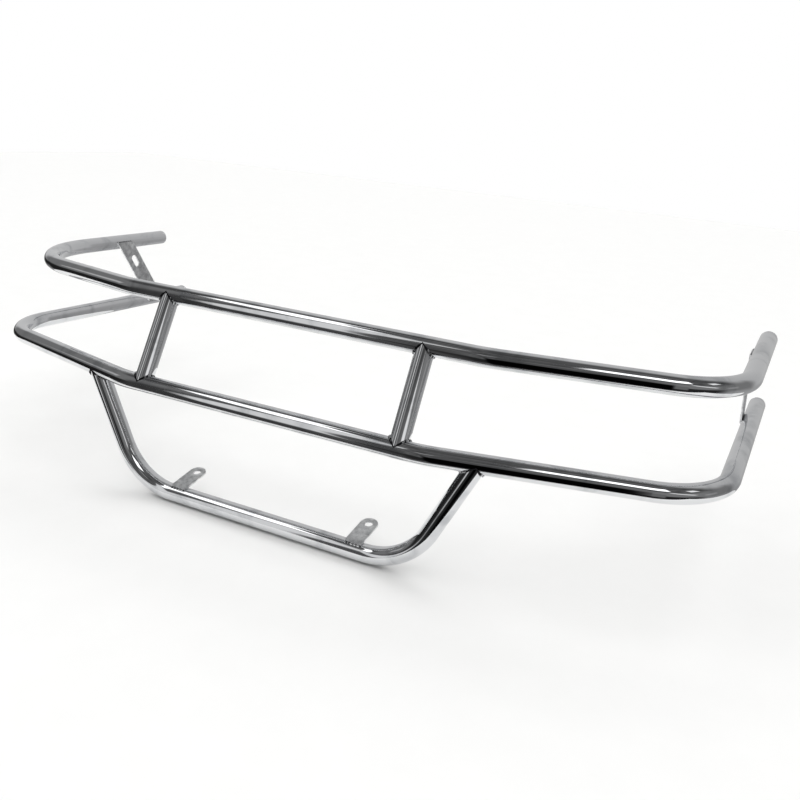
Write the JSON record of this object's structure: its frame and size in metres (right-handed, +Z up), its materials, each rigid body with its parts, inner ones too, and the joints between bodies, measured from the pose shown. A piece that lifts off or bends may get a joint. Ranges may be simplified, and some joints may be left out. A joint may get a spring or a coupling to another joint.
{
  "type": "front brush guard",
  "caption": "Polished tubular front guard: two wrap-round hoops joined by uprights, a lower loop with foot tabs, and slotted side straps.",
  "frame": {"origin": "midway between the two foot tab holes, at half the tabs' thickness", "axes": "+X along the guard's width, to the right as seen from the front; +Y back towards the vehicle; +Z up, square to the hoops"},
  "size_m": [1.192, 0.5302, 0.3074],
  "materials": {
    "polished_tube": "mirror-polished stainless steel",
    "flat_bar": "satin stainless flat bar",
    "end_cap": "polished stainless steel",
    "weld_bead": "cleaned weld bead"
  },
  "bodies": {
    "root": {"upper_hoop": "polished_tube", "lower_hoop": "polished_tube", "left_upright": "polished_tube", "right_upright": "polished_tube", "lower_loop": "polished_tube", "left_foot_tab": "flat_bar", "right_foot_tab": "flat_bar", "left_side_strap": "flat_bar", "right_side_strap": "flat_bar", "upper_left_end_cap": "end_cap", "upper_right_end_cap": "end_cap", "lower_left_end_cap": "end_cap", "lower_right_end_cap": "end_cap", "left_upright_top_weld": "weld_bead", "right_upright_top_weld": "weld_bead", "left_upright_bottom_weld": "weld_bead", "right_upright_bottom_weld": "weld_bead", "left_loop_weld": "weld_bead", "right_loop_weld": "weld_bead", "left_tab_weld": "weld_bead", "right_tab_weld": "weld_bead", "left_strap_top_weld": "weld_bead", "right_strap_top_weld": "weld_bead", "left_strap_bottom_weld": "weld_bead", "right_strap_bottom_weld": "weld_bead"}
  },
  "joints": []
}
